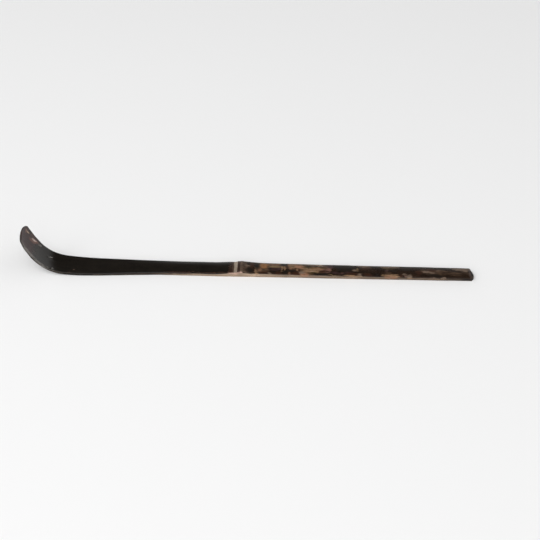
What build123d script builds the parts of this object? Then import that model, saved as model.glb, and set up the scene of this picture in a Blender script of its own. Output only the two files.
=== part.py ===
"""A chashaku, the scoop that lifts powdered tea: one strip of dark bamboo, steamed and bent at one end.

The strip lies along X with its planed back on the ground, the cut end of the handle at +X and the bowl at -X.
It is divided where the bamboo changes: dark rind on the face, pale flesh below it, and the node between.
"""
import os
from math import ceil
from typing import NamedTuple

from build123d import *

# Lengths along the strip, in order from the cut end of the handle to the start of the bend
handle_length = 82.6
swell_length = 9.6
ridge_length = 1.7
scar_length = 2.0
fade_length = 8.0
shaft_length = 5.0
flare_length = 42.6

# The bend, measured on the back: a gentle lead, the bend itself and the easier curve out to the tip
lead_radius = 105.0
lead_angle = 6.6
bend_radius = 16.4
bend_angle = 53.5
tip_radius = 32.6
tip_angle = 18.0

# Widths of the strip
butt_width = 6.6
handle_width = 6.9
node_width = 7.2
shaft_width = 7.45
bowl_width = 11.4
tip_width = 9.9

# Thicknesses along the edges of the strip, and of the rind on its face
butt_thickness = 1.6
handle_thickness = 2.0
ridge_thickness = 2.75
scar_thickness = 2.1
shaft_thickness = 1.6
bowl_thickness = 1.2
tip_thickness = 0.95
rind_thickness = 0.3
ridge_rind = 0.75

# Curve across the face: round like the culm on the handle and the shaft, hollow in the bowl
culm_crown = 0.3
bowl_hollow = 0.25

# Knife work: the worn edge of the face, the broken edge of the back, the planed back and the two ends
edge_bevel = 0.25
bevel_drop = 0.2
back_chamfer = 0.3
shaving = 0.15
tip_round = 3.2
tip_spare = 0.3
end_bevel = 1.3
end_bevel_drop = 0.6
corner_length = 1.0
corner_width = 1.2

# How far a cutting shape reaches past what it cuts, and how far apart the strip's sections may lie
overcut = 1.0
section_step = 5.0


class Mark(NamedTuple):
    """The strip at one distance from its cut end: width, edge thickness, rise of the face and depth of rind."""

    distance: float
    width: float
    thickness: float
    crown: float
    rind: float


def even(share):
    """A change at one steady rate."""
    return share


def rising(share):
    """A change that starts level and ends steep."""
    return share * share


def eased(share):
    """A change that starts and ends level."""
    return share * share * (3 - 2 * share)


def spread(start, end, change):
    """Marks from one mark up to the next, changing in the given way."""
    marks = []
    steps = ceil((end.distance - start.distance) / section_step)
    for step in range(steps):
        share = change(step / steps)
        values = [low + (high - low) * share for low, high in zip(start[1:], end[1:])]
        marks.append(Mark(start.distance + (end.distance - start.distance) * step / steps, *values))
    return marks


# Where the strip changes, measured along its back from the cut end
swell_start = handle_length
ridge_start = swell_start + swell_length
scar_start = ridge_start + ridge_length
scar_end = scar_start + scar_length
fade_end = scar_end + fade_length
flare_start = fade_end + shaft_length
bend_start = flare_start + flare_length

# The line of the back before it is planed, then moved so that the scoop is centred over the ground
with BuildLine(Plane.XZ) as draft_line:
    straight = Line((0, -shaving), (-bend_start, -shaving))
    lead = JernArc(straight @ 1, straight % 1, lead_radius, -lead_angle)
    bend = JernArc(lead @ 1, lead % 1, bend_radius, -bend_angle)
    tip = JernArc(bend @ 1, bend % 1, tip_radius, -tip_angle)
butt_x = -(tip @ 1).X / 2
back_line = draft_line.wire().moved(Location((butt_x, 0, 0)))
strip_length = back_line.length
bend_end = bend_start + lead.length + bend.length

butt = Mark(0, butt_width, butt_thickness + shaving, culm_crown, rind_thickness)
handle = Mark(swell_start, handle_width, handle_thickness + shaving, culm_crown, rind_thickness)
ridge = Mark(ridge_start, node_width, ridge_thickness + shaving, culm_crown, ridge_rind)
ridge_foot = ridge._replace(distance=scar_start)
scar = Mark(scar_start, node_width, scar_thickness + shaving, culm_crown, rind_thickness)
fade = scar._replace(distance=scar_end)
shaft = Mark(fade_end, shaft_width, shaft_thickness + shaving, culm_crown, rind_thickness)
flare = shaft._replace(distance=flare_start)
bowl = Mark(bend_end, bowl_width, bowl_thickness, -bowl_hollow, rind_thickness)
rounding = Mark(strip_length - tip_round, tip_width, tip_thickness, -bowl_hollow, rind_thickness)
end = rounding._replace(distance=strip_length)

handle_marks = spread(butt, handle, even) + spread(handle, ridge, rising) + [ridge, ridge_foot]
bowl_marks = [scar] + spread(fade, shaft, eased) + spread(shaft, flare, even)
bowl_marks += spread(flare, bowl, eased) + spread(bowl, rounding, even) + [rounding, end]


def plane_at(distance):
    """The plane square to the strip at a distance from its cut end, with the face of the strip upwards."""
    return Plane(
        origin=back_line.position_at(distance, position_mode=PositionMode.LENGTH),
        x_dir=(0, -1, 0),
        z_dir=back_line.tangent_at(distance, position_mode=PositionMode.LENGTH),
    )


def strip_section(mark):
    """The whole section at a mark: curved face, bevelled edges, upright sides and a back with broken edges."""
    side = mark.width / 2
    face = side - edge_bevel
    back = side - back_chamfer
    with BuildSketch(plane_at(mark.distance)) as section:
        with BuildLine():
            Bezier((-face, mark.thickness), (0, mark.thickness + 2 * mark.crown), (face, mark.thickness))
            Polyline(
                (face, mark.thickness),
                (side, mark.thickness - bevel_drop),
                (side, back_chamfer),
                (back, 0),
                (-back, 0),
                (-side, back_chamfer),
                (-side, mark.thickness - bevel_drop),
                (-face, mark.thickness),
            )
        make_face()
    return section.sketch


def flesh_section(mark):
    """What lies under the rind at a mark, drawn larger than the strip on the other three sides."""
    side = mark.width / 2 + overcut
    top = mark.thickness - mark.rind + mark.crown
    edge = top - mark.crown * (side / (mark.width / 2 - edge_bevel)) ** 2
    with BuildSketch(plane_at(mark.distance)) as section:
        with BuildLine():
            Bezier((-side, edge), (0, 2 * top - edge), (side, edge))
            Polyline((side, edge), (side, -overcut), (-side, -overcut), (-side, edge))
        make_face()
    return section.sketch


# The handle's half of the strip, planed below, with its cut end bevelled and its corners taken off
end_top = Plane(
    origin=(butt_x, 0, butt_thickness + culm_crown - end_bevel_drop),
    x_dir=(0, 1, 0),
    z_dir=(end_bevel_drop, 0, end_bevel),
)
far_corner = Plane(
    origin=(butt_x, butt_width / 2 - corner_width, 0),
    x_dir=(0, 0, 1),
    z_dir=(corner_width, corner_length, 0),
)
near_corner = Plane(
    origin=(butt_x, corner_width - butt_width / 2, 0),
    x_dir=(0, 0, 1),
    z_dir=(corner_width, -corner_length, 0),
)
with BuildPart() as handle_half:
    loft([strip_section(mark) for mark in handle_marks])
    split(bisect_by=Plane.XY, keep=Keep.TOP)
    for cut in (end_top, far_corner, near_corner):
        split(bisect_by=cut, keep=Keep.BOTTOM)

with BuildPart() as handle_core:
    loft([flesh_section(mark) for mark in handle_marks])

# The bowl's half of the strip, planed below, with the end of the bowl cut round
tip_end = plane_at(strip_length)
tip_face = Plane(tip_end.origin, x_dir=tip_end.x_dir, z_dir=tip_end.y_dir)
with BuildPart() as bowl_half:
    loft([strip_section(mark) for mark in bowl_marks])
    split(bisect_by=Plane.XY, keep=Keep.TOP)
    with BuildSketch(tip_face):
        with Locations((0, tip_round)):
            Rectangle(tip_width + 2 * overcut, tip_round + overcut, align=(Align.CENTER, Align.MAX))
            Ellipse(tip_width / 2 + tip_spare, tip_round, mode=Mode.SUBTRACT)
    extrude(amount=bowl_thickness + overcut, both=True, mode=Mode.SUBTRACT)

with BuildPart() as bowl_core:
    loft([flesh_section(mark) for mark in bowl_marks])

# Planes across the strip where one stretch of bamboo passes into the next, each facing the bowl
ridge_plane = plane_at(ridge_start)
scar_plane = plane_at(scar_end)
bend_plane = plane_at(bend_start)

with BuildPart() as handle_rind:
    add(handle_half.part)
    add(handle_core.part, mode=Mode.SUBTRACT)
    split(bisect_by=ridge_plane, keep=Keep.BOTTOM)

with BuildPart() as handle_flesh:
    add(handle_half.part)
    add(handle_core.part, mode=Mode.INTERSECT)
    split(bisect_by=ridge_plane, keep=Keep.BOTTOM)

with BuildPart() as node_ridge:
    add(handle_half.part)
    add(handle_core.part, mode=Mode.SUBTRACT)
    split(bisect_by=ridge_plane, keep=Keep.TOP)

with BuildPart() as ridge_flesh:
    add(handle_half.part)
    add(handle_core.part, mode=Mode.INTERSECT)
    split(bisect_by=ridge_plane, keep=Keep.TOP)

with BuildPart() as sheath_scar:
    add(bowl_half.part)
    add(bowl_core.part, mode=Mode.SUBTRACT)
    split(bisect_by=scar_plane, keep=Keep.BOTTOM)

with BuildPart() as node_flesh:
    add(bowl_half.part)
    add(bowl_core.part, mode=Mode.INTERSECT)
    split(bisect_by=scar_plane, keep=Keep.BOTTOM)
    add(ridge_flesh.part)

with BuildPart() as shaft_rind:
    add(bowl_half.part)
    add(bowl_core.part, mode=Mode.SUBTRACT)
    split(bisect_by=scar_plane, keep=Keep.TOP)
    split(bisect_by=bend_plane, keep=Keep.BOTTOM)

with BuildPart() as shaft_flesh:
    add(bowl_half.part)
    add(bowl_core.part, mode=Mode.INTERSECT)
    split(bisect_by=scar_plane, keep=Keep.TOP)
    split(bisect_by=bend_plane, keep=Keep.BOTTOM)

with BuildPart() as bowl_rind:
    add(bowl_half.part)
    add(bowl_core.part, mode=Mode.SUBTRACT)
    split(bisect_by=bend_plane, keep=Keep.TOP)

with BuildPart() as bowl_flesh:
    add(bowl_half.part)
    add(bowl_core.part, mode=Mode.INTERSECT)
    split(bisect_by=bend_plane, keep=Keep.TOP)

handle_rind.part.label = "handle_rind"
handle_flesh.part.label = "handle_flesh"
node_ridge.part.label = "node_ridge"
sheath_scar.part.label = "sheath_scar"
node_flesh.part.label = "node_flesh"
shaft_rind.part.label = "shaft_rind"
shaft_flesh.part.label = "shaft_flesh"
bowl_rind.part.label = "bowl_rind"
bowl_flesh.part.label = "bowl_flesh"

os.makedirs("parts", exist_ok=True)
export_step(handle_rind.part, "parts/handle_rind.step")
export_step(handle_flesh.part, "parts/handle_flesh.step")
export_step(node_ridge.part, "parts/node_ridge.step")
export_step(sheath_scar.part, "parts/sheath_scar.step")
export_step(node_flesh.part, "parts/node_flesh.step")
export_step(shaft_rind.part, "parts/shaft_rind.step")
export_step(shaft_flesh.part, "parts/shaft_flesh.step")
export_step(bowl_rind.part, "parts/bowl_rind.step")
export_step(bowl_flesh.part, "parts/bowl_flesh.step")
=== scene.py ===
# Looks of a chashaku, the scoop that lifts powdered tea: a strip of dark bamboo, whittled, steamed and bent
from math import pi, radians
from typing import Callable, NamedTuple

import bmesh
import bpy
import numpy as np
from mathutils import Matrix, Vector


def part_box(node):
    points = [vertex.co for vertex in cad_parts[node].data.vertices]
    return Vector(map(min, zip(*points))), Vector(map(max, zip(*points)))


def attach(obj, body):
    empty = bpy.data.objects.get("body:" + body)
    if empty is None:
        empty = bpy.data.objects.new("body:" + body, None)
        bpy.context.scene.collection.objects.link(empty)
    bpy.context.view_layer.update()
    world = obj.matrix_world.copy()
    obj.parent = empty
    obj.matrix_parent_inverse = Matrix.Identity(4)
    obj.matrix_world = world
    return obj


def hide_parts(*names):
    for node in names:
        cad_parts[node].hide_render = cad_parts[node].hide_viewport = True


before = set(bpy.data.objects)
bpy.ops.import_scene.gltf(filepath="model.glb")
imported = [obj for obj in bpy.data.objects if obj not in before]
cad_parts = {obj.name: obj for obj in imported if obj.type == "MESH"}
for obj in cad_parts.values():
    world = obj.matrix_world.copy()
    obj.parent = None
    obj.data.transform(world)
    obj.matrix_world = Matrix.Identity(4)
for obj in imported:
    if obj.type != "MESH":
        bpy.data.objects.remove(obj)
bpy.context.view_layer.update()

# Sizes are in millimetres, as on the bench, and meshes are written in metres
MM = 0.001

# Where one stretch of bamboo passes into the next, measured along the back from the cut end of the handle
BUTT_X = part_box("handle_flesh")[1].x / MM
RIDGE_START = BUTT_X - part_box("handle_flesh")[0].x / MM
SCAR_START = BUTT_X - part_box("node_ridge")[0].x / MM
SCAR_END = BUTT_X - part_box("node_flesh")[0].x / MM
BEND_START = BUTT_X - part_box("shaft_flesh")[0].x / MM

# Where the strip starts to swell towards its node, where that has faded, and where it starts to flare
SWELL_START = 82.6
FADE_END = SCAR_END + 8.0
FLARE_START = FADE_END + 9.0


class Arc(NamedTuple):
    """One curve of the bent back: its radius and how far it turns."""

    radius: float
    turn: float

    @property
    def length(self):
        """Its length along the back."""
        return self.radius * self.turn


# The three curves of the back, from the shaft to the tip
LEAD = Arc(105.0, radians(6.6))
BEND = Arc(16.4, radians(53.5))
TIP = Arc(32.6, radians(18.0))
LEAD_END = BEND_START + LEAD.length
BEND_END = LEAD_END + BEND.length
STRIP_LENGTH = BEND_END + TIP.length

# Widths of the strip, and thicknesses along its edges
BUTT_WIDTH = 6.45
HANDLE_WIDTH = 6.9
NODE_WIDTH = 7.2
SHAFT_WIDTH = 7.45
BOWL_WIDTH = 11.4
TIP_WIDTH = 9.9
BUTT_THICK = 1.6
HANDLE_THICK = 2.0
RIDGE_THICK = 2.75
SCAR_THICK = 2.1
SHAFT_THICK = 1.6
BOWL_THICK = 1.2
TIP_THICK = 0.95

# The rind's depth in the middle, at the edges and at the ridge, the curve across the face, and what is planed
# off the back
RIND = 0.3
EDGE_RIND = 0.45
RIDGE_RIND = 0.75
CULM_CROWN = 0.3
BOWL_HOLLOW = 0.25
SHAVING = 0.15

# Knife work: the face's edges, crisp in front, worn behind and soft round the bowl, the bevelled cut end with
# unequal corners, given as lengths along and across, and the round tip
NEAR_ROUND = 0.1
FAR_ROUND = 0.3
RIM_ROUND = 0.32
BACK_ROUND = 0.3
END_BEVEL = 1.9
END_BEVEL_DROP = 0.6
FAR_CORNER = (1.15, 3.6)
NEAR_CORNER = (0.9, 1.2)
TIP_TRIM = 0.1
TIP_ROUND = 3.2
TIP_FULLNESS = 0.943
TIP_NOSE = 0.4
NOSE_FULLNESS = 0.985

# How far the lines round the node run askew across the strip, and how far the pale ring is bowed
RIDGE_SKEW = 0.12
SCAR_SKEW = 0.3
BLOOM_SKEW = 0.2
BLOOM_BOW = 0.35

# What the hand and the plant leave uneven: the knife's waver, the strip's slow sweep to one side, and how far
# from the cut end sides and rind are fully uneven
WAVER = 0.04
SWEEP = 0.25
UNEVEN_FROM = 6.0

# Edges that turn by more than this are shaded as sharp
SHARP_EDGE = radians(50)


def share_of(s, start, end):
    """How far s has come from start to end, from 0 to 1."""
    return np.clip((s - start) / (end - start), 0, 1)


def eased(share):
    """A change that starts and ends level."""
    return share * share * (3 - 2 * share)


def smooth_noise(x, y, seed):
    """Noise from -1 to 1 that changes over about one unit, the same on each run."""
    size = 256
    grid = np.random.default_rng(seed).uniform(-1, 1, (size, size))
    left, low = np.floor(x).astype(int), np.floor(y).astype(int)
    across, up = eased(x - left), eased(y - low)
    rows = []
    for row in (low, low + 1):
        start = grid[left % size, row % size]
        end = grid[(left + 1) % size, row % size]
        rows.append(start * (1 - across) + end * across)
    return rows[0] * (1 - up) + rows[1] * up


class Ripple(NamedTuple):
    """One scale of unevenness: how much, its length in mm, how fine it is across, its seed and first row."""

    amount: float
    long: float
    fine: float
    seed: int
    row: float = 0


def rippled(ripples, s, across):
    """The unevenness that some ripples add up to, at s along and a place across."""
    return sum(r.amount * smooth_noise(s / r.long, r.row + r.fine * across, r.seed) for r in ripples)


# Unevenness of the strip's sides, as shares of the waver, and of the rind's depth, each long and short
SIDE_RIPPLES = [Ripple(1.0, 7.0, 3, 1, 5), Ripple(0.5, 3.0, 3, 2, 5)]
RIND_RIPPLES = [Ripple(0.1, 4.0, 5, 3, 9), Ripple(0.05, 1.2, 5, 4, 9)]


class Trim(NamedTuple):
    """Where the knife left a side fuller or slimmer: 1 far or -1 near, where along, half length, how much."""

    side: int
    along: float
    long: float
    out: float


SIDE_TRIMS = [
    Trim(1, 184.3, 3.4, 0.46),
    Trim(1, 172.0, 5.0, -0.2),
    Trim(1, 134.0, 22.0, -0.19),
    Trim(1, 93.0, 2.5, -0.2),
    Trim(1, 55.0, 32.0, -0.12),
    Trim(-1, 184.6, 2.6, 0.2),
    Trim(-1, 177.4, 4.2, -0.32),
    Trim(-1, 152.0, 12.0, 0.28),
    Trim(-1, 126.0, 6.0, -0.16),
    Trim(-1, 2.0, 4.0, -0.1),
]


def half_width(s, side):
    """Half the strip's width on one side, 1 far or -1 near, with the slight waver of a hand-held knife."""
    width = BUTT_WIDTH + (HANDLE_WIDTH - BUTT_WIDTH) * share_of(s, 0, SWELL_START)
    width += (NODE_WIDTH - HANDLE_WIDTH) * share_of(s, SWELL_START, RIDGE_START) ** 2
    width += (SHAFT_WIDTH - NODE_WIDTH) * eased(share_of(s, SCAR_END, FADE_END))
    width += (BOWL_WIDTH - SHAFT_WIDTH) * eased(share_of(s, FLARE_START, BEND_END))
    width += (TIP_WIDTH - BOWL_WIDTH) * share_of(s, BEND_END, STRIP_LENGTH - TIP_ROUND)
    half = width / 2 + WAVER * rippled(SIDE_RIPPLES, s, side) * share_of(s, 0, UNEVEN_FROM)
    for trim in SIDE_TRIMS:
        half = half + (side == trim.side) * trim.out * np.exp(-(((s - trim.along) / trim.long) ** 2))
    return half


def edge_height(s):
    """Height of the face along its edges, above the unplaned back."""
    height = BUTT_THICK + (HANDLE_THICK - BUTT_THICK) * share_of(s, 0, SWELL_START)
    height += (RIDGE_THICK - HANDLE_THICK) * share_of(s, SWELL_START, RIDGE_START) ** 2
    height += (SCAR_THICK - RIDGE_THICK) * (1 - (1 - share_of(s, SCAR_START, SCAR_END)) ** 2)
    height += (SHAFT_THICK - SCAR_THICK) * eased(share_of(s, SCAR_END, FADE_END))
    height += (BOWL_THICK - SHAFT_THICK) * eased(share_of(s, FLARE_START, BEND_END))
    height += (TIP_THICK - BOWL_THICK) * share_of(s, BEND_END, STRIP_LENGTH - TIP_ROUND)
    return height + SHAVING * (1 - eased(share_of(s, FLARE_START, BEND_END)))


class Bump(NamedTuple):
    """A small raised or sunk place on the face: where along and across, half length, half width and height.

    Along is in mm from the cut end. Across runs from 0 at the far edge to 1 at the near edge.
    """

    along: float
    across: float
    long: float
    wide: float
    height: float


# A half width that reaches right across the strip
FULL_WIDTH = 9.0
FACE_BUMPS = [
    # The groove where the sheath was attached, and the rounded crest beside it
    Bump(93.6, 0.5, 0.35, FULL_WIDTH, -0.12),
    Bump(92.75, 0.5, 0.8, FULL_WIDTH, 0.06),
    # Blisters and nicks in the bowl
    Bump(171.9, 0.42, 0.8, 0.045, 0.09),
    Bump(170.2, 0.45, 1.0, 0.03, -0.05),
    Bump(168.7, 0.95, 0.5, 0.04, 0.06),
    Bump(177.2, 0.19, 0.7, 0.05, 0.05),
    Bump(160.0, 0.82, 0.7, 0.05, 0.03),
]


def face_height(s, q):
    """Height of the face at s along and q across, from -1 at the near edge to 1 at the far edge."""
    crown = CULM_CROWN - (CULM_CROWN + BOWL_HOLLOW) * eased(share_of(s, FLARE_START, BEND_END))
    height = edge_height(s) + crown * (1 - q * q)
    for bump in FACE_BUMPS:
        away = ((s - bump.along) / bump.long) ** 2 + (((1 - q) / 2 - bump.across) / bump.wide) ** 2
        height = height + bump.height * np.exp(-away)
    return height


def back_height(s):
    """Height of the planed back above the unplaned one, which the bend soon lifts clear of the plane."""
    return np.maximum(0, SHAVING - np.maximum(0, s - BEND_START) ** 2 / (2 * LEAD.radius))


def rind_depth(s, q):
    """Depth of the dark skin: uneven, deeper along the edges, and deepest at the ridge."""
    uneven = rippled(RIND_RIPPLES, s, q)
    ridge = share_of(s, SWELL_START, RIDGE_START) ** 2 * (1 - eased(share_of(s, SCAR_START, SCAR_END)))
    edge = (EDGE_RIND - RIND) * q * q * (1 - share_of(s, BEND_START, BEND_END))
    return RIND + (edge + uneven) * share_of(s, 0, UNEVEN_FROM) * (1 - ridge) + (RIDGE_RIND - RIND) * ridge


def blank_points(s, q, v):
    """Points in metres of the straight blank, at s along, q across and height v, with worn edges."""
    low, top = back_height(s), edge_height(s)
    face_round = np.where(q > 0, FAR_ROUND, NEAR_ROUND)
    face_round = face_round + (RIM_ROUND - face_round) * eased(share_of(s, LEAD_END, BEND_END))
    share = (v - low) / (face_height(s, q) - low)
    near_face = np.clip(1 - (1 - share) * (top - low) / face_round, 0, 1)
    near_back = np.clip(1 - share * (top - low) / BACK_ROUND, 0, 1)
    inset = face_round * (1 - np.sqrt(1 - near_face**2)) + BACK_ROUND * (1 - np.sqrt(1 - near_back**2))
    sweep = SWEEP * np.sin(pi * share_of(s, 0, BEND_START)) ** 2
    y = q * (half_width(s, np.sign(q)) - inset) - sweep
    return np.stack([BUTT_X - s, y, v - SHAVING], -1) * MM


class Stretch(NamedTuple):
    """A length of the strip, with how far its two end surfaces stand off square at q across and height v."""

    start: float
    end: float
    start_cut: Callable
    end_cut: Callable


def square_cut(q, v):
    """An end cut square across."""
    return 0 * q * v


def butt_cut(q, v):
    """The cut end of the handle: a bevel on top and two corners taken off, the far one larger."""
    depth = BUTT_THICK + SHAVING + CULM_CROWN * (1 - q * q) - v
    bevel = END_BEVEL * (1 - depth / END_BEVEL_DROP)
    y = q * BUTT_WIDTH / 2
    far = FAR_CORNER[0] * (y - BUTT_WIDTH / 2 + FAR_CORNER[1]) / FAR_CORNER[1]
    near = NEAR_CORNER[0] * (NEAR_CORNER[1] - BUTT_WIDTH / 2 - y) / NEAR_CORNER[1]
    return np.maximum.reduce(np.broadcast_arrays(bevel, far, near, square_cut(q, v)))


def ridge_line(q, v):
    """The start of the ridge, a little skew across the strip."""
    return RIDGE_SKEW * np.sin(2 * q) + square_cut(q, v)


def scar_line(q, v):
    """The foot of the ridge, skew across the strip."""
    return SCAR_SKEW * q + square_cut(q, v)


def bloom_line(q, v):
    """The bowl side of the pale ring, a little skew and bowed towards the handle in the middle."""
    return BLOOM_SKEW * q - BLOOM_BOW * (1 - q * q) + square_cut(q, v)


def tip_cut(q, v):
    """The round end of the bowl, with its edge rounded through the thickness."""
    share = np.clip(2 * v / TIP_THICK - 1, -NOSE_FULLNESS, NOSE_FULLNESS)
    nose = TIP_NOSE * (1 - np.sqrt(1 - share**2))
    return -TIP_TRIM - TIP_ROUND * (1 - np.sqrt(1 - (TIP_FULLNESS * q) ** 2)) - nose


HANDLE = Stretch(0, RIDGE_START, butt_cut, ridge_line)
RIDGE = Stretch(RIDGE_START, SCAR_START, ridge_line, scar_line)
SCAR = Stretch(SCAR_START, SCAR_END, scar_line, bloom_line)
NODE = Stretch(RIDGE_START, SCAR_END, ridge_line, bloom_line)
SHAFT = Stretch(SCAR_END, BEND_START, bloom_line, square_cut)
BOWL = Stretch(BEND_START, STRIP_LENGTH, square_cut, tip_cut)


def rind_layer(s, q):
    """Lower and upper height of the dark skin."""
    face = face_height(s, q)
    return face - rind_depth(s, q), face


def flesh_layer(s, q):
    """Lower and upper height of the pale wood under the skin."""
    return back_height(s), face_height(s, q) - rind_depth(s, q)


class Blank(NamedTuple):
    """A straight piece of the strip: its object, and each point's place along and, unrolled, across it.

    Across is 0 at the far edge of the face, 1 at its near edge, more on the near flank and on round the back.
    """

    piece: bpy.types.Object
    along: np.ndarray
    across: np.ndarray


def block_shell(steps):
    """The shell of a block of points: which points lie on it, its quads, and which quads are underneath."""
    shell = np.zeros(steps, bool)
    shell[[0, -1]] = shell[:, [0, -1]] = shell[:, :, [0, -1]] = True
    number = np.full(steps, -1)
    number[shell] = np.arange(shell.sum())
    quads, under = [], []
    for axis in range(3):
        for end in (0, -1):
            side = np.take(number, end, axis=axis)
            corners = (side[:-1, :-1], side[1:, :-1], side[1:, 1:], side[:-1, 1:])
            quads.append(np.stack(corners, -1).reshape(-1, 4))
            under.append(np.full(len(quads[-1]), axis == 2 and end == 0))
    return shell, np.concatenate(quads), np.concatenate(under)


def whittle(name, stretch, layer, steps, fine_at_face):
    """Makes one closed straight piece: a block of steps along, across and through that follows the strip."""
    t = np.linspace(0, 1, steps[0])[:, None, None]
    q = np.linspace(-1, 1, steps[1])[None, :, None]
    quarter = np.linspace(0, pi / 2, steps[2])[None, None, :]
    level = np.sin(quarter) if fine_at_face else 1 - np.cos(quarter)
    ends = []
    for at, cut in ((stretch.start, stretch.start_cut), (stretch.end, stretch.end_cut)):
        low, high = layer(np.full_like(q, at), q)
        ends.append(at + cut(q, low + level * (high - low)))
    s = ends[0] + t * (ends[1] - ends[0])
    q = q + 0 * s
    low, high = layer(s, q)
    v = low + level * (high - low)
    shell, quads, under = block_shell(steps)
    mesh = bpy.data.meshes.new(name)
    mesh.from_pydata(blank_points(s, q, v)[shell].tolist(), [], quads.tolist())
    turn_outwards(mesh)
    half = half_width(s, np.sign(q))
    depth = face_height(s, q) - v
    on_top = (1 - q - np.sign(q) * depth / half) / 2
    on_back = 1 + depth / (2 * half) + (1 + q) / 2
    lay_out(mesh, s[shell], (on_top * 2 * half)[shell], (on_back * 2 * half)[shell], under)
    across = np.where((level == 0) & (np.abs(q) < 1), on_back, on_top)
    piece = bpy.data.objects.new(name, mesh)
    bpy.context.scene.collection.objects.link(piece)
    return Blank(piece, s[shell], across[shell])


def turn_outwards(mesh):
    """Turns all faces outwards and shades the mesh smooth between its sharp edges."""
    work = bmesh.new()
    work.from_mesh(mesh)
    bmesh.ops.recalc_face_normals(work, faces=work.faces)
    work.to_mesh(mesh)
    work.free()
    mesh.shade_smooth()
    mesh.set_sharp_from_angle(angle=SHARP_EDGE)


def lay_out(mesh, along, on_top, on_back, under):
    """Gives the mesh a UV map in metres, along the strip and unrolled across, so grain follows the bend."""
    vertex = np.zeros(len(mesh.loops), int)
    mesh.loops.foreach_get("vertex_index", vertex)
    across = np.where(np.repeat(under, 4), on_back[vertex], on_top[vertex])
    places = np.stack([along[vertex], across], -1) * MM
    mesh.uv_layers.new(name="strip").data.foreach_set("uv", places.ravel())


def linear(hex_colour):
    """An sRGB hex colour as linear RGBA."""
    parts = [int(hex_colour[k : k + 2], 16) / 255 for k in (1, 3, 5)]
    return [c / 12.92 if c <= 0.04045 else ((c + 0.055) / 1.055) ** 2.4 for c in parts] + [1.0]


def add(tree, kind, inputs, **settings):
    """Adds a node and returns its first live output.

    Each input goes by its socket's identifier, and is a value or a socket to link.
    """
    made = tree.nodes.new(kind)
    for name, value in settings.items():
        setattr(made, name, value)
    for name, value in inputs.items():
        socket = next(s for s in made.inputs if s.identifier == name)
        if isinstance(value, bpy.types.NodeSocket):
            tree.links.new(value, socket)
        else:
            socket.default_value = value
    return next((s for s in made.outputs if s.enabled), made)


def steam_bend_tree():
    """A tree that curls what lies past a start line up into an arc, as bamboo is bent over heat."""
    tree = bpy.data.node_groups.new("steam_bend", "GeometryNodeTree")
    tree.interface.new_socket("Blank", in_out="INPUT", socket_type="NodeSocketGeometry")
    for name in ("Start", "Radius", "Turn", "Back"):
        tree.interface.new_socket(name, in_out="INPUT", socket_type="NodeSocketFloat")
    tree.interface.new_socket("Finish", in_out="INPUT", socket_type="NodeSocketMaterial")
    tree.interface.new_socket("Bent", in_out="OUTPUT", socket_type="NodeSocketGeometry")
    given = add(tree, "NodeGroupInput", {}).node.outputs
    point = add(tree, "GeometryNodeInputPosition", {})
    x = add(tree, "ShaderNodeSeparateXYZ", {"Vector": point})
    past = add(tree, "ShaderNodeMath", {"Value": given["Start"], "Value_001": x}, operation="SUBTRACT")
    ratio = add(tree, "ShaderNodeMath", {"Value": past, "Value_001": given["Radius"]}, operation="DIVIDE")
    turn = add(tree, "ShaderNodeClamp", {"Value": ratio, "Max": given["Turn"]})
    # Each point slides back by the arc it has passed, and then turns with the arc about its centre
    slide = add(tree, "ShaderNodeMath", {"Value": turn, "Value_001": given["Radius"]}, operation="MULTIPLY")
    step = add(tree, "ShaderNodeCombineXYZ", {"X": slide})
    slid = add(tree, "ShaderNodeVectorMath", {"Vector": point, "Vector_001": step}, operation="ADD")
    height = add(tree, "ShaderNodeMath", {"Value": given["Back"], "Value_001": given["Radius"]},
                 operation="ADD")
    centre = add(tree, "ShaderNodeCombineXYZ", {"X": given["Start"], "Z": height})
    turned = add(tree, "ShaderNodeVectorRotate", {"Vector": slid, "Center": centre, "Angle": turn},
                 rotation_type="Y_AXIS")
    bent = add(tree, "GeometryNodeSetPosition", {"Geometry": given["Blank"], "Position": turned})
    real = add(tree, "GeometryNodeRealizeInstances", {"Geometry": bent})
    finished = add(tree, "GeometryNodeSetMaterial", {"Geometry": real, "Material": given["Finish"]})
    output = tree.nodes.new("NodeGroupOutput")
    tree.links.new(finished, output.inputs["Bent"])
    return tree


def set_inputs(modifier, values):
    """Sets a Geometry Nodes modifier's inputs, which go by their sockets' identifiers."""
    for item in modifier.node_group.interface.items_tree:
        if item.in_out == "INPUT" and item.name in values:
            modifier[item.identifier] = values[item.name]


def make_plain(piece):
    """Replaces a piece's mesh by what its modifiers make of it."""
    graph = bpy.context.evaluated_depsgraph_get()
    straight = piece.data
    name = straight.name
    bent = bpy.data.meshes.new_from_object(
        piece.evaluated_get(graph), preserve_all_data_layers=True, depsgraph=graph)
    piece.modifiers.clear()
    piece.data = bent
    bpy.data.meshes.remove(straight)
    bent.name = name


def bend_bowl(piece, tree, material):
    """Bends a straight piece of the bowl along the back's three arcs, the one at the tip first."""
    for name, arc, start in (("tip", TIP, BEND_END), ("bend", BEND, LEAD_END), ("lead", LEAD, BEND_START)):
        modifier = piece.modifiers.new(name, "NODES")
        modifier.node_group = tree
        set_inputs(modifier, {
            "Start": (BUTT_X - start) * MM,
            "Radius": arc.radius * MM,
            "Turn": arc.turn,
            "Back": -SHAVING * MM,
            "Finish": material,
        })
    make_plain(piece)


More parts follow.
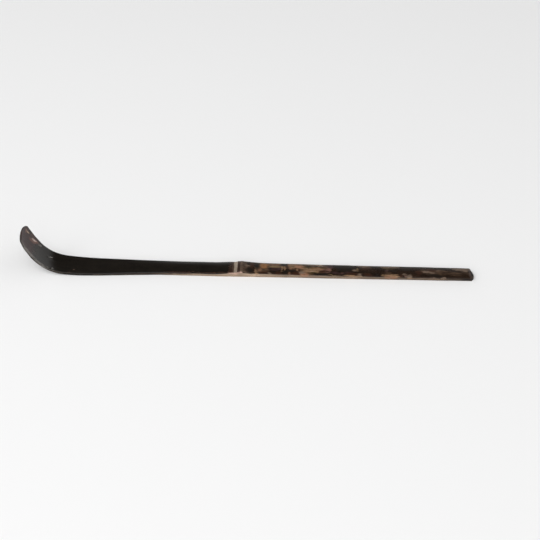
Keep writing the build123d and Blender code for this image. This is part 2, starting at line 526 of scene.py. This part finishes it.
# Tints of the mottles, from the black of old smoke to the pale wood where the rind is worn through, and a
# grey for painted highlights
TINTS = {
    "soot": "#1D1712",
    "plum": "#362524",
    "chestnut": "#331E13",
    "mahogany": "#3E2E2A",
    "moss": "#443620",
    "umber": "#4C3A2C",
    "bark": "#4E3E32",
    "rose": "#6A4D43",
    "ash": "#67574A",
    # A painted highlight: the grey where the bowl's rim and blisters catch the light
    "painted_glint": "#6E6B67",
    "olive": "#776146",
    "tan": "#7A6049",
    "russet": "#845F49",
    "amber": "#835C3B",
    "cream": "#9C8773",
    "blush": "#AE9082",
    "shell": "#BBA69C",
}


class Mottle(NamedTuple):
    """A mottle on the bamboo, or a painted highlight laid the same way: its tint, where along and across,
    half length, half width, strength and slant.

    Its edge is as ragged as the fibre leaves it, unless less is asked for.
    """

    tint: str
    along: float
    across: float
    long: float
    wide: float
    strength: float = 1.0
    slant: float = 0.0
    ragged: float = 1.0


# Mottles lie one over another in the order given: broad clouds, then paler patches, then dark spots with
# a few pale ones among them
HANDLE_MOTTLES = [
    Mottle("bark", 91.8, 0.5, 1.8, FULL_WIDTH, 0.7),
    Mottle("umber", 84.0, 0.5, 3.0, 0.6, 0.8),
    Mottle("umber", 78.8, 0.24, 3.8, 0.32, 0.9),
    Mottle("tan", 71.2, 0.28, 3.6, 0.32, 0.75),
    Mottle("tan", 64.6, 0.58, 3.8, 0.34, 0.8),
    Mottle("rose", 58.8, 0.5, 2.4, 0.3, 0.55),
    Mottle("russet", 67.2, 1.0, 2.2, 0.15, 0.75),
    Mottle("soot", 51.0, 0.4, 4.6, 0.42, 0.8),
    Mottle("umber", 42.9, 0.17, 2.8, 0.18, 0.7),
    Mottle("moss", 34.0, 0.2, 3.0, 0.18, 0.8),
    Mottle("umber", 34.4, 0.74, 1.8, 0.12, 0.55),
    Mottle("umber", 15.6, 0.5, 5.4, 0.28, 0.55),
    Mottle("umber", 9.0, 0.62, 3.4, 0.22, 0.4),
    Mottle("bark", 5.0, 0.6, 3.6, 0.26, 0.35),
    Mottle("ash", 4.6, 0.16, 3.6, 0.16, 0.9),
    Mottle("mahogany", 0.6, 0.5, 1.3, FULL_WIDTH, 0.45, ragged=0.1),
    Mottle("ash", 90.2, 0.42, 1.3, 0.09, 0.7),
    Mottle("tan", 86.9, 0.8, 0.8, 0.16, 0.45),
    Mottle("tan", 86.2, 1.03, 1.1, 0.08, 0.7),
    Mottle("cream", 87.4, 1.12, 2.0, 0.06, 0.6),
    Mottle("amber", 83.7, 0.28, 1.6, 0.28),
    Mottle("russet", 85.3, 0.7, 0.8, 0.11, 0.35),
    Mottle("russet", 79.2, 0.13, 2.4, 0.09, 0.5),
    Mottle("olive", 79.2, 0.39, 2.2, 0.08, 0.95),
    Mottle("tan", 76.4, 0.5, 0.4, 0.2, 0.9),
    Mottle("tan", 75.3, 0.55, 0.5, 0.2, 0.9),
    Mottle("tan", 76.6, 0.79, 0.5, 0.09, 0.55),
    Mottle("russet", 73.1, 0.52, 0.8, 0.12, 0.5),
    Mottle("russet", 73.4, 0.93, 0.7, 0.09, 0.5),
    Mottle("russet", 69.6, 0.32, 1.8, 0.18, 0.75),
    Mottle("tan", 70.4, 0.66, 0.4, 0.1, 0.8),
    Mottle("ash", 68.6, 0.86, 1.3, 0.09, 0.9),
    Mottle("tan", 66.0, 0.63, 1.7, 0.16, 0.7),
    Mottle("tan", 63.2, 0.68, 1.3, 0.16),
    Mottle("cream", 63.9, 0.76, 1.0, 0.07, 0.4),
    Mottle("ash", 62.6, 0.09, 5.2, 0.1, 0.95),
    Mottle("cream", 61.3, 0.12, 1.3, 0.09, 0.7),
    Mottle("russet", 60.9, 0.44, 0.6, 0.16, 0.4),
    Mottle("rose", 57.5, 0.58, 0.9, 0.16, 0.8),
    Mottle("ash", 47.4, 0.56, 0.8, 0.11, 0.9),
    Mottle("olive", 46.2, 0.42, 0.35, 0.24, 0.5),
    Mottle("ash", 45.4, 1.0, 1.0, 0.15, 0.85),
    Mottle("ash", 44.2, 0.1, 2.6, 0.12),
    Mottle("olive", 36.6, 0.9, 0.6, 0.16, 0.35),
    Mottle("tan", 32.8, 1.03, 3.3, 0.19, 0.9, ragged=0.6),
    Mottle("russet", 33.8, 1.02, 2.0, 0.1, 0.5),
    Mottle("ash", 33.6, 0.1, 4.2, 0.09, 0.95),
    Mottle("ash", 27.6, 0.84, 0.9, 0.09, 0.65),
    Mottle("rose", 27.2, 0.95, 0.6, 0.08, 0.5),
    Mottle("ash", 25.6, 0.98, 1.1, 0.17, 0.75),
    Mottle("ash", 18.9, 0.53, 1.5, 0.1, 0.95, 0.03),
    Mottle("ash", 16.9, 1.08, 1.6, 0.09, 0.7),
    Mottle("ash", 16.6, 0.62, 1.8, 0.08, 0.85),
    Mottle("bark", 14.0, 0.38, 0.9, 0.12, 0.7),
    Mottle("ash", 12.2, 1.06, 1.4, 0.11, 0.95),
    Mottle("bark", 11.5, 0.41, 2.0, 0.07, 0.4),
    Mottle("ash", 2.9, 0.36, 1.1, 0.11, 0.8),
    Mottle("soot", 89.3, 0.8, 1.3, 0.2, 0.85),
    Mottle("chestnut", 88.6, 0.36, 0.8, 0.3, 0.75),
    Mottle("soot", 86.4, 0.35, 1.0, 0.3),
    Mottle("chestnut", 83.4, 0.95, 1.5, 0.12),
    Mottle("soot", 83.2, 0.97, 0.6, 0.06, 0.6),
    Mottle("soot", 79.2, 0.83, 1.7, 0.14, 0.9),
    Mottle("ash", 81.3, 0.98, 0.8, 0.09, 0.6),
    Mottle("plum", 79.3, 0.6, 2.1, 0.14),
    Mottle("chestnut", 79.8, 0.62, 1.2, 0.08, 0.5),
    Mottle("soot", 81.2, 0.63, 0.6, 0.1, 0.8),
    Mottle("chestnut", 77.8, 0.93, 1.6, 0.11, 0.95),
    Mottle("soot", 75.6, 0.16, 1.5, 0.13),
    Mottle("soot", 75.1, 0.86, 0.8, 0.11, 0.95),
    Mottle("chestnut", 74.4, 0.38, 0.6, 0.14, 0.8),
    Mottle("soot", 72.6, 0.77, 1.9, 0.1, 0.95),
    Mottle("chestnut", 71.0, 0.98, 1.3, 0.12),
    Mottle("chestnut", 71.1, 0.54, 0.6, 0.1, 0.9),
    Mottle("chestnut", 69.4, 0.7, 0.5, 0.12, 0.9),
    Mottle("moss", 65.6, 0.34, 2.3, 0.13, ragged=0.7),
    Mottle("soot", 66.0, 0.25, 1.3, 0.08, 0.85),
    Mottle("soot", 65.7, 0.5, 0.3, 0.12, 0.55),
    Mottle("umber", 63.3, 0.41, 1.4, 0.09, 0.55),
    Mottle("amber", 63.0, 0.4, 1.4, 0.07, 0.45),
    Mottle("moss", 59.8, 0.37, 1.6, 0.1, 0.75),
    Mottle("plum", 57.2, 0.3, 0.9, 0.12, 0.95),
    Mottle("moss", 63.4, 0.9, 2.4, 0.06, 0.9),
    Mottle("soot", 61.0, 0.98, 3.3, 0.1, 0.95),
    Mottle("olive", 62.9, 0.8, 0.6, 0.05, 0.7),
    Mottle("chestnut", 60.1, 0.75, 1.3, 0.07, 0.95),
    Mottle("plum", 57.0, 0.13, 0.8, 0.15, 0.9),
    Mottle("plum", 55.0, 0.82, 2.4, 0.08, 0.7),
    Mottle("rose", 52.4, 0.78, 0.5, 0.05, 0.45),
    Mottle("plum", 50.0, 0.78, 1.8, 0.09, 0.8),
    Mottle("chestnut", 48.7, 0.85, 2.0, 0.08, 0.9),
    Mottle("tan", 48.6, 1.03, 3.6, 0.07, 0.9, ragged=0.5),
    Mottle("olive", 54.4, 1.03, 3.4, 0.04, 0.5),
    Mottle("chestnut", 42.6, 0.32, 2.0, 0.1, 0.7),
    Mottle("chestnut", 42.0, 0.92, 2.2, 0.1, 0.7),
    Mottle("soot", 39.4, 0.16, 1.5, 0.1, 0.75),
    Mottle("soot", 38.5, 0.94, 0.5, 0.1, 0.9),
    Mottle("mahogany", 34.6, 0.5, 0.9, 0.1, 0.8),
    Mottle("soot", 32.0, 0.52, 1.5, 0.1, 0.7),
    Mottle("soot", 26.6, 0.33, 3.0, 0.19, 0.65),
    Mottle("chestnut", 28.9, 0.97, 0.6, 0.12, 0.9),
    Mottle("chestnut", 22.0, 0.6, 1.2, 0.24, 0.6),
    Mottle("chestnut", 16.7, 0.34, 1.6, 0.16, ragged=0.6),
    Mottle("soot", 15.4, 0.85, 2.7, 0.1, 0.8),
    Mottle("soot", 13.2, 0.91, 0.6, 0.07),
    Mottle("soot", 12.4, 0.2, 1.8, 0.1, 0.7),
    Mottle("soot", 7.6, 0.43, 1.5, 0.1, 0.6),
]
RIDGE_MOTTLES = [
    Mottle("ash", 92.9, 0.08, 0.8, 0.2, 0.7),
    Mottle("chestnut", 93.7, 0.5, 0.6, FULL_WIDTH, ragged=0.2),
    Mottle("soot", 93.6, 0.75, 0.3, 0.3, 0.7, ragged=0.2),
    Mottle("blush", 93.2, 1.12, 2.4, 0.08, 0.9),
]
SCAR_MOTTLES = [
    Mottle("ash", 95.0, 0.85, 2.0, 0.3, 0.45),
    Mottle("chestnut", 93.95, 0.5, 0.3, FULL_WIDTH, ragged=0.2),
    Mottle("bark", 96.0, 0.5, 0.3, FULL_WIDTH, 0.6, ragged=0.3),
    Mottle("blush", 95.0, 1.07, 2.4, 0.07, 0.9),
]
SHAFT_MOTTLES = [
    Mottle("chestnut", 96.0, 0.5, 1.8, FULL_WIDTH, 0.6, ragged=0.5),
    Mottle("bark", 95.6, 0.5, 0.6, FULL_WIDTH, 0.6, ragged=0.4),
    Mottle("blush", 95.8, 1.07, 2.4, 0.06, 0.95),
    Mottle("chestnut", 112.0, 0.98, 15.0, 0.07, 0.6),
]
BOWL_MOTTLES = [
    Mottle("plum", 187.0, 0.5, 8.0, FULL_WIDTH, 0.8, ragged=0.5),
    Mottle("mahogany", 182.6, 0.08, 5.0, 0.12, 0.85),
    # Painted highlights: a grey line along the near rim, over the light the rounded rim really catches, and
    # glints on the blisters and nicks
    Mottle("painted_glint", 178.5, 1.01, 9.5, 0.05, 0.6, ragged=0.4),
    Mottle("painted_glint", 177.1, 0.16, 1.1, 0.03, 0.5, -0.06),
    Mottle("painted_glint", 171.2, 0.43, 1.0, 0.035, 0.65, -0.05),
    Mottle("painted_glint", 168.8, 0.92, 0.4, 0.025, 0.45),
    Mottle("rose", 180.8, 0.23, 2.5, 0.08, 0.85, -0.036),
    Mottle("soot", 184.3, 0.08, 0.7, 0.1, 0.9),
    Mottle("shell", 180.6, 0.19, 1.2, 0.04, 1.0, -0.05),
    Mottle("shell", 181.8, 0.22, 0.8, 0.035, 0.75, -0.036),
    Mottle("cream", 185.5, 0.23, 1.2, 0.045, 1.0, -0.03),
    Mottle("rose", 186.9, 0.28, 0.6, 0.08, 0.9),
    Mottle("umber", 159.8, 0.81, 0.5, 0.05, 0.5),
    Mottle("umber", 161.6, 0.95, 0.8, 0.05, 0.5),
]
FLESH_MOTTLES = [
    # The near flank
    # A painted highlight along the bowl's near rim
    Mottle("painted_glint", 178.0, 1.06, 9.5, 0.07, 0.52, ragged=0.5),
    Mottle("soot", 118.5, 1.05, 4.5, 0.05, 0.9, ragged=0.3),
    Mottle("blush", 94.4, 1.07, 2.6, 0.05, 0.5),
    Mottle("cream", 87.4, 1.14, 3.6, 0.1, 0.7),
    Mottle("russet", 67.4, 1.1, 2.4, 0.08, 0.5),
    Mottle("cream", 49.4, 1.12, 5.0, 0.1, 0.3),
    Mottle("russet", 32.6, 1.08, 3.0, 0.1, 0.8),
    Mottle("tan", 25.2, 1.08, 1.6, 0.12, 0.5),
    Mottle("ash", 16.4, 1.1, 2.2, 0.1, 0.9),
    Mottle("ash", 12.0, 1.06, 1.3, 0.12, 0.9),
    # The far flank
    Mottle("cream", 87.0, -0.12, 3.2, 0.1, 0.6),
    Mottle("russet", 71.0, -0.08, 2.6, 0.08, 0.6),
    Mottle("tan", 44.0, -0.1, 3.0, 0.1, 0.6),
    Mottle("ash", 4.0, -0.1, 3.0, 0.12, 0.7),
    # Across the back, where the wall of the node was
    Mottle("umber", 93.7, 1.85, 0.8, 0.4, 0.5),
]

# How dark smoke has stained the flesh, as places along the strip with the darkness there, and its unevenness
SMOKE = [(0, 0.95), (8, 0.88), (20, 0.7), (40, 0.52), (62, 0.44), (75, 0.4), (85, 0.18), (93, 0.1),
         (97, 0.14), (104, 0.19), (110, 0.25), (115, 0.34), (119, 0.52), (124, 0.84), (130, 1.0)]
SMOKE_RIPPLES = [Ripple(0.12, 3.0, 9, 9)]

# How a mottle's border strays: along the strip, in full where its half length is at least FULL_WANDER, across
# the strip, and in and out with the fibre
WANDER_RIPPLES = [Ripple(0.5, 1.6, 5, 5), Ripple(0.25, 0.6, 13, 6)]
FULL_WANDER = 2.0
STRAY_RIPPLES = [Ripple(0.05, 2.2, 4, 7), Ripple(0.025, 0.8, 11, 8)]
FIBRE_RIPPLES = [Ripple(0.3, 4.0, 14, 9)]

# Where a mottle has faded out, in half lengths and half widths, and how faint the ground tint is
MOTTLE_END = 1.5
GROUND_STRENGTH = 0.01


def stain(blank, mottles, ground):
    """Stores on a piece the tint of its mottles, painted highlights among them, over a faint ground tint, and
    how strongly they show.
    """
    s, across = blank.along, blank.across
    wander = rippled(WANDER_RIPPLES, s, across)
    stray = rippled(STRAY_RIPPLES, s, across)
    fibre = rippled(FIBRE_RIPPLES, s, across)
    strength = np.full((len(s), 1), GROUND_STRENGTH)
    tint = strength * np.array(linear(TINTS[ground])[:3])
    for mottle in mottles:
        along = s + mottle.ragged * wander * min(1, mottle.long / FULL_WANDER) - mottle.along
        sideways = across + mottle.ragged * stray - mottle.across + mottle.slant * along
        reach = np.sqrt((along / mottle.long) ** 2 + (sideways / mottle.wide) ** 2) + mottle.ragged * fibre
        here = mottle.strength * eased(np.clip(MOTTLE_END - reach, 0, 1))[:, None]
        tint += here * (np.array(linear(TINTS[mottle.tint])[:3]) - tint)
        strength += here * (1 - strength)
    store = blank.piece.data.attributes.new("mottle", "FLOAT_COLOR", "POINT")
    store.data.foreach_set("color", np.concatenate([tint / strength, strength], 1).ravel())


def smoke(blank):
    """Stores how dark smoke has stained the flesh, unevenly along the fibre."""
    places, darkness = zip(*SMOKE)
    dark = np.interp(blank.along, places, darkness) + rippled(SMOKE_RIPPLES, blank.along, blank.across)
    store = blank.piece.data.attributes.new("smoke", "FLOAT", "POINT")
    store.data.foreach_set("value", np.clip(dark, 0, 1))


def new_material(name):
    """An empty material, with its tree and its shader."""
    material = bpy.data.materials.new(name)
    material.use_nodes = True
    tree = material.node_tree
    tree.nodes.clear()
    surface = add(tree, "ShaderNodeBsdfPrincipled", {})
    add(tree, "ShaderNodeOutputMaterial", {"Surface": surface})
    return material, tree, surface.node


def grain(tree, long, wide, **settings):
    """A noise drawn out along the strip, with features of about long by wide millimetres."""
    strip = add(tree, "ShaderNodeUVMap", {}, uv_map="strip")
    drawn = add(tree, "ShaderNodeMapping", {"Vector": strip, "Scale": (1 / (long * MM), 1 / (wide * MM), 1)})
    return add(tree, "ShaderNodeTexNoise", {"Vector": drawn, "Scale": 1.0, **settings})


def mottled_colour(tree, ground):
    """Lays a piece's stored mottles over its ground colour, broken in blotches and streaked along the fibre.

    The streaks are drawn about twice as wide as the real fibre, which is too fine to show.
    """
    blotchy = 1.3
    streaky = 0.9
    blotches = grain(tree, 2.4, 0.8, Detail=4.0, Roughness=0.6)
    streaks = grain(tree, 6, 0.45, Detail=2.0)
    flecks = grain(tree, 1.3, 0.6, Detail=3.0)
    tint = add(tree, "ShaderNodeAttribute", {}, attribute_name="mottle")
    broken = add(tree, "ShaderNodeMath", {
        "Value": blotches, "Value_001": blotchy, "Value_002": tint.node.outputs["Alpha"],
    }, operation="MULTIPLY_ADD")
    ragged = add(tree, "ShaderNodeMath", {"Value": streaks, "Value_001": streaky, "Value_002": broken},
                 operation="MULTIPLY_ADD")
    shows = add(tree, "ShaderNodeMapRange", {"Value": ragged, "From Min": 1.3, "From Max": 1.95},
                interpolation_type="SMOOTHSTEP")
    shade = add(tree, "ShaderNodeMapRange", {"Value": streaks, "From Min": 0.3, "From Max": 0.7,
                                             "To Min": 0.65, "To Max": 1.25})
    spots = add(tree, "ShaderNodeMapRange", {"Value": flecks, "From Min": 0.52, "From Max": 0.68,
                                             "To Min": 1.05, "To Max": 0.5})
    spotted = add(tree, "ShaderNodeMath", {"Value": shade, "Value_001": spots}, operation="MULTIPLY")
    streaked = add(tree, "ShaderNodeVectorMath", {"Vector": tint, "Scale": spotted}, operation="SCALE")
    colour = add(tree, "ShaderNodeMix", {"Factor_Float": shows, "A_Color": ground, "B_Color": streaked},
                 data_type="RGBA")
    return colour, shows


def rind_material(name, ground, streak, roughness, gloss, wear):
    """Bamboo rind, scraped and rubbed with use: hard, waxy and satin, mottled and streaked along the fibre.

    Wear is how much rougher the rind is on its mottles.
    """
    material, tree, shader = new_material(name)
    fibres = grain(tree, 7, 0.25, Detail=4.0)
    drift = grain(tree, 5, 2.2, Detail=3.0)
    specks = grain(tree, 0.7, 0.35, Detail=5.0, Roughness=0.6)
    uneven = add(tree, "ShaderNodeMath", {"Value": fibres, "Value_001": drift}, operation="MULTIPLY")
    depth = add(tree, "ShaderNodeMapRange", {"Value": uneven, "From Min": 0.15, "From Max": 0.38})
    base = add(tree, "ShaderNodeMix", {
        "Factor_Float": depth, "A_Color": linear(ground), "B_Color": linear(streak),
    }, data_type="RGBA")
    colour, shows = mottled_colour(tree, base)
    tree.links.new(colour, shader.inputs["Base Color"])
    rubbed = add(tree, "ShaderNodeMapRange", {
        "Value": specks, "To Min": roughness - 0.05, "To Max": roughness + 0.07,
    })
    dull = add(tree, "ShaderNodeMath", {"Value": shows, "Value_001": wear, "Value_002": rubbed},
               operation="MULTIPLY_ADD")
    tree.links.new(dull, shader.inputs["Roughness"])
    shader.inputs["Specular IOR Level"].default_value = gloss
    relief = add(tree, "ShaderNodeBump", {"Height": fibres, "Strength": 0.1, "Distance": 0.02 * MM})
    tree.links.new(relief, shader.inputs["Normal"])
    return material


def flesh_material():
    """Bamboo flesh, cut with a knife: pale, dry and fibrous, with darker bundles and smoke at both ends."""
    material, tree, shader = new_material("bamboo_flesh_knife_cut")
    bundles = grain(tree, 7, 0.3, Detail=5.0, Roughness=0.65)
    drift = grain(tree, 9, 3, Detail=3.0)
    tone = add(tree, "ShaderNodeMix", {
        "Factor_Float": drift, "A_Color": linear("#9F8B75"), "B_Color": linear("#8F7B6B"),
    }, data_type="RGBA")
    dark = add(tree, "ShaderNodeMapRange", {
        "Value": bundles, "From Min": 0.5, "From Max": 0.75, "To Max": 0.5,
    })
    fibrous = add(tree, "ShaderNodeMix", {
        "Factor_Float": dark, "A_Color": tone, "B_Color": linear("#6E5A48"),
    }, data_type="RGBA")
    smoked = add(tree, "ShaderNodeMix", {
        "Factor_Float": add(tree, "ShaderNodeAttribute", {}, attribute_name="smoke").node.outputs["Fac"],
        "A_Color": fibrous,
        "B_Color": linear("#15110E"),
    }, data_type="RGBA")
    tree.links.new(mottled_colour(tree, smoked)[0], shader.inputs["Base Color"])
    shader.inputs["Roughness"].default_value = 0.6
    shader.inputs["Specular IOR Level"].default_value = 0.2
    relief = add(tree, "ShaderNodeBump", {"Height": bundles, "Strength": 0.4, "Distance": 0.04 * MM})
    tree.links.new(relief, shader.inputs["Normal"])
    return material


def finish_piece(piece, node, material):
    """Gives a piece its finish and its place in the frame, where it stands for a node."""
    piece.data.materials.clear()
    piece.data.materials.append(material)
    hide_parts(node)
    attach(piece, "root")


steam_bend = steam_bend_tree()
black_rind = rind_material(
    "black_bamboo_rind_rubbed", "#14110E", "#1D1914", roughness=0.16, gloss=0.3, wear=0.3)
mottled_rind = rind_material(
    "mottled_bamboo_rind_rubbed", "#1B130D", "#2E2118", roughness=0.26, gloss=0.14, wear=0.1)
pale_bloom = rind_material(
    "waxy_bloom_below_node", "#817466", "#9B8D7E", roughness=0.5, gloss=0.25, wear=0.1)
ridge_rind = rind_material(
    "node_ridge_rind_scraped", "#48392E", "#635244", roughness=0.4, gloss=0.2, wear=0.1)
flesh = flesh_material()

for node, stretch, steps, mottles, ground, slot, material in (
    ("handle_rind", HANDLE, (470, 41, 7), HANDLE_MOTTLES, "umber", "mottled_rind", mottled_rind),
    ("node_ridge", RIDGE, (24, 41, 9), RIDGE_MOTTLES, "ash", "node_ridge", ridge_rind),
    ("sheath_scar", SCAR, (28, 41, 7), SCAR_MOTTLES, "cream", "scar_ring", pale_bloom),
    ("shaft_rind", SHAFT, (280, 41, 7), SHAFT_MOTTLES, "soot", "dark_rind", black_rind),
    ("bowl_rind", BOWL, (210, 57, 7), BOWL_MOTTLES, "soot", "dark_rind", black_rind),
):
    blank = whittle(node + "_skin", stretch, rind_layer, steps, fine_at_face=True)
    stain(blank, mottles, ground)
    if stretch is BOWL:
        bend_bowl(blank.piece, steam_bend, material)
    finish_piece(blank.piece, node, material)

for node, stretch, steps in (
    ("handle_flesh", HANDLE, (300, 25, 13)),
    ("node_flesh", NODE, (40, 25, 13)),
    ("shaft_flesh", SHAFT, (200, 25, 13)),
    ("bowl_flesh", BOWL, (200, 41, 11)),
):
    blank = whittle(node + "_wood", stretch, flesh_layer, steps, fine_at_face=False)
    stain(blank, FLESH_MOTTLES, "umber")
    smoke(blank)
    if stretch is BOWL:
        bend_bowl(blank.piece, steam_bend, flesh)
    finish_piece(blank.piece, node, flesh)


def make_floor():
    """A plain pale floor, wide enough to fill the picture."""
    half = 2.5
    corners = [(-half, -half, 0), (half, -half, 0), (half, half, 0), (-half, half, 0)]
    mesh = bpy.data.meshes.new("floor")
    mesh.from_pydata(corners, [], [(0, 1, 2, 3)])
    floor = bpy.data.objects.new("floor", mesh)
    bpy.context.scene.collection.objects.link(floor)
    material, _, shader = new_material("white_card")
    shader.inputs["Base Color"].default_value = linear("#F0F0F0")
    shader.inputs["Roughness"].default_value = 0.9
    shader.inputs["Specular IOR Level"].default_value = 0.1
    mesh.materials.append(material)


class Panel(NamedTuple):
    """A soft patch in the surround: where its middle lies, where it starts and is full, and its strength.

    Faint and full are cosines of the angle from the middle. The strength of a dark cloth is negative, because
    it takes light away.
    """

    heading: Vector
    faint: float
    full: float
    strength: float


# A white tent all round, with a dark cloth overhead that leans to the back, and more light low in front: the
# flat face mirrors the cloth, the bowl and the far edge mirror the white below it, and the light in front
# fills the shadow
TENT = 1.05
CLOTH = 0.05
PANELS = [
    Panel(Vector((-0.1, 0.36, 0.93)).normalized(), 0.62, 0.8, CLOTH - TENT),
    Panel(Vector((-0.35, -0.85, 0.4)).normalized(), 0.3, 0.9, 0.35),
]


def make_surround():
    """A white tent with its panels."""
    world = bpy.data.worlds.new("surround")
    world.use_nodes = True
    tree = world.node_tree
    tree.nodes.clear()
    heading = add(tree, "ShaderNodeTexCoord", {})
    level = TENT
    for panel in PANELS:
        near = add(tree, "ShaderNodeVectorMath", {"Vector": heading, "Vector_001": panel.heading},
                   operation="DOT_PRODUCT")
        near = near.node.outputs["Value"]
        glow = add(tree, "ShaderNodeMapRange", {
            "Value": near, "From Min": panel.faint, "From Max": panel.full, "To Max": panel.strength,
        }, interpolation_type="SMOOTHSTEP")
        level = add(tree, "ShaderNodeMath", {"Value": glow, "Value_001": level}, operation="ADD")
    light = add(tree, "ShaderNodeBackground", {"Color": linear("#FFFFFF"), "Strength": level})
    add(tree, "ShaderNodeOutputWorld", {"Surface": light})
    bpy.context.scene.world = world


def make_lamp():
    """A wide soft lamp, high in front and to the left."""
    data = bpy.data.lights.new("softbox", "AREA")
    data.shape = "RECTANGLE"
    data.size = 1.2
    data.size_y = 0.9
    data.energy = 6.1
    lamp = bpy.data.objects.new("softbox", data)
    lamp.location = (-0.3, -0.6, 0.75)
    lamp.rotation_euler = (-lamp.location).to_track_quat("-Z", "Y").to_euler()
    bpy.context.scene.collection.objects.link(lamp)


def make_camera():
    """The photograph's camera, in front of the scoop and above it.

    Its square picture is measured in pixels, and how far it looks down and to the left in degrees.
    """
    picture = 540
    focal = 977.7
    centre_x = 265.45
    look_down = 39.06
    look_left = 2.12
    data = bpy.data.cameras.new("camera")
    data.sensor_width = 36.0
    data.lens = data.sensor_width * focal / picture
    data.shift_x = 0.5 - centre_x / picture
    data.clip_start = 0.01
    camera = bpy.data.objects.new("camera", data)
    camera.location = Vector((18.0, -304.95, 248.45)) * MM
    camera.rotation_euler = (radians(90 - look_down), 0, radians(look_left))
    bpy.context.scene.collection.objects.link(camera)
    bpy.context.scene.camera = camera


make_floor()
make_surround()
make_lamp()
make_camera()
bpy.context.scene.view_settings.view_transform = "Standard"
